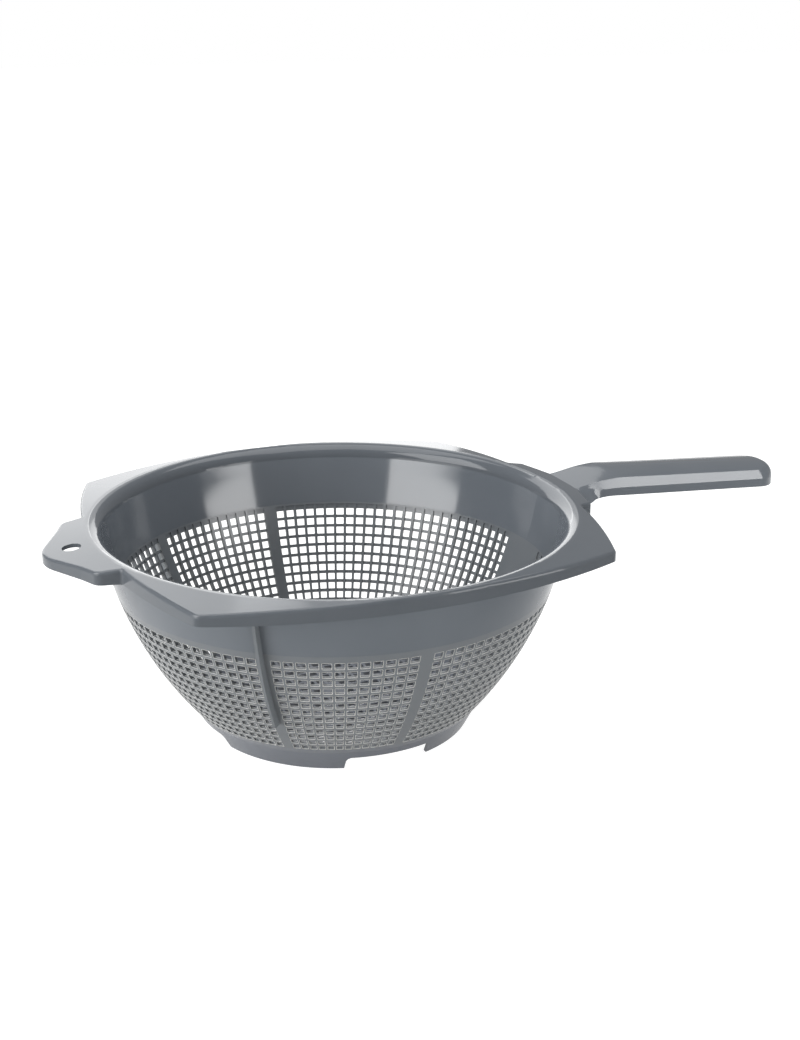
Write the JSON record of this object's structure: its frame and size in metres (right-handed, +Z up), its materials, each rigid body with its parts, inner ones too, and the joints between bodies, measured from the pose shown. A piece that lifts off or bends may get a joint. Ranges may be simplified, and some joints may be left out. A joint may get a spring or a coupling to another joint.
{
  "type": "colander",
  "caption": "Plastic colander: mesh-sided bowl on a notched foot ring, a four-cornered rim, a pointed hanging tab and a hollow channel handle.",
  "frame": {"origin": "on the table, under the middle of the whole colander; the bowl's axis stands at X = -54.25 mm", "axes": "+X along the handle, away from the bowl; +Z up along the bowl's axis; the hanging tab points along -X"},
  "size_m": [0.3886, 0.2368, 0.1077],
  "materials": {
    "polypropylene": "satin, injection-moulded"
  },
  "bodies": {
    "root": {"base_plate": "polypropylene", "base_corner": "polypropylene", "foot_ring": "polypropylene", "foot_pad_1": "polypropylene", "foot_pad_2": "polypropylene", "foot_pad_3": "polypropylene", "foot_pad_4": "polypropylene", "mesh_panel_tab_side": "polypropylene", "mesh_panel_middle_far": "polypropylene", "mesh_panel_middle_near": "polypropylene", "mesh_panel_handle_side_far": "polypropylene", "mesh_panel_handle_side_near": "polypropylene", "wall_strip_tab_side_far": "polypropylene", "wall_strip_tab_side_near": "polypropylene", "wall_strip_handle_side_far": "polypropylene", "wall_strip_handle_side_near": "polypropylene", "handle_side_wall": "polypropylene", "upper_wall": "polypropylene", "rim_flange": "polypropylene", "rim_skirt": "polypropylene", "hanging_tab": "polypropylene", "handle_plate": "polypropylene", "handle_root": "polypropylene", "handle_grip": "polypropylene", "fin_far": "polypropylene", "fin_near": "polypropylene"}
  },
  "joints": []
}
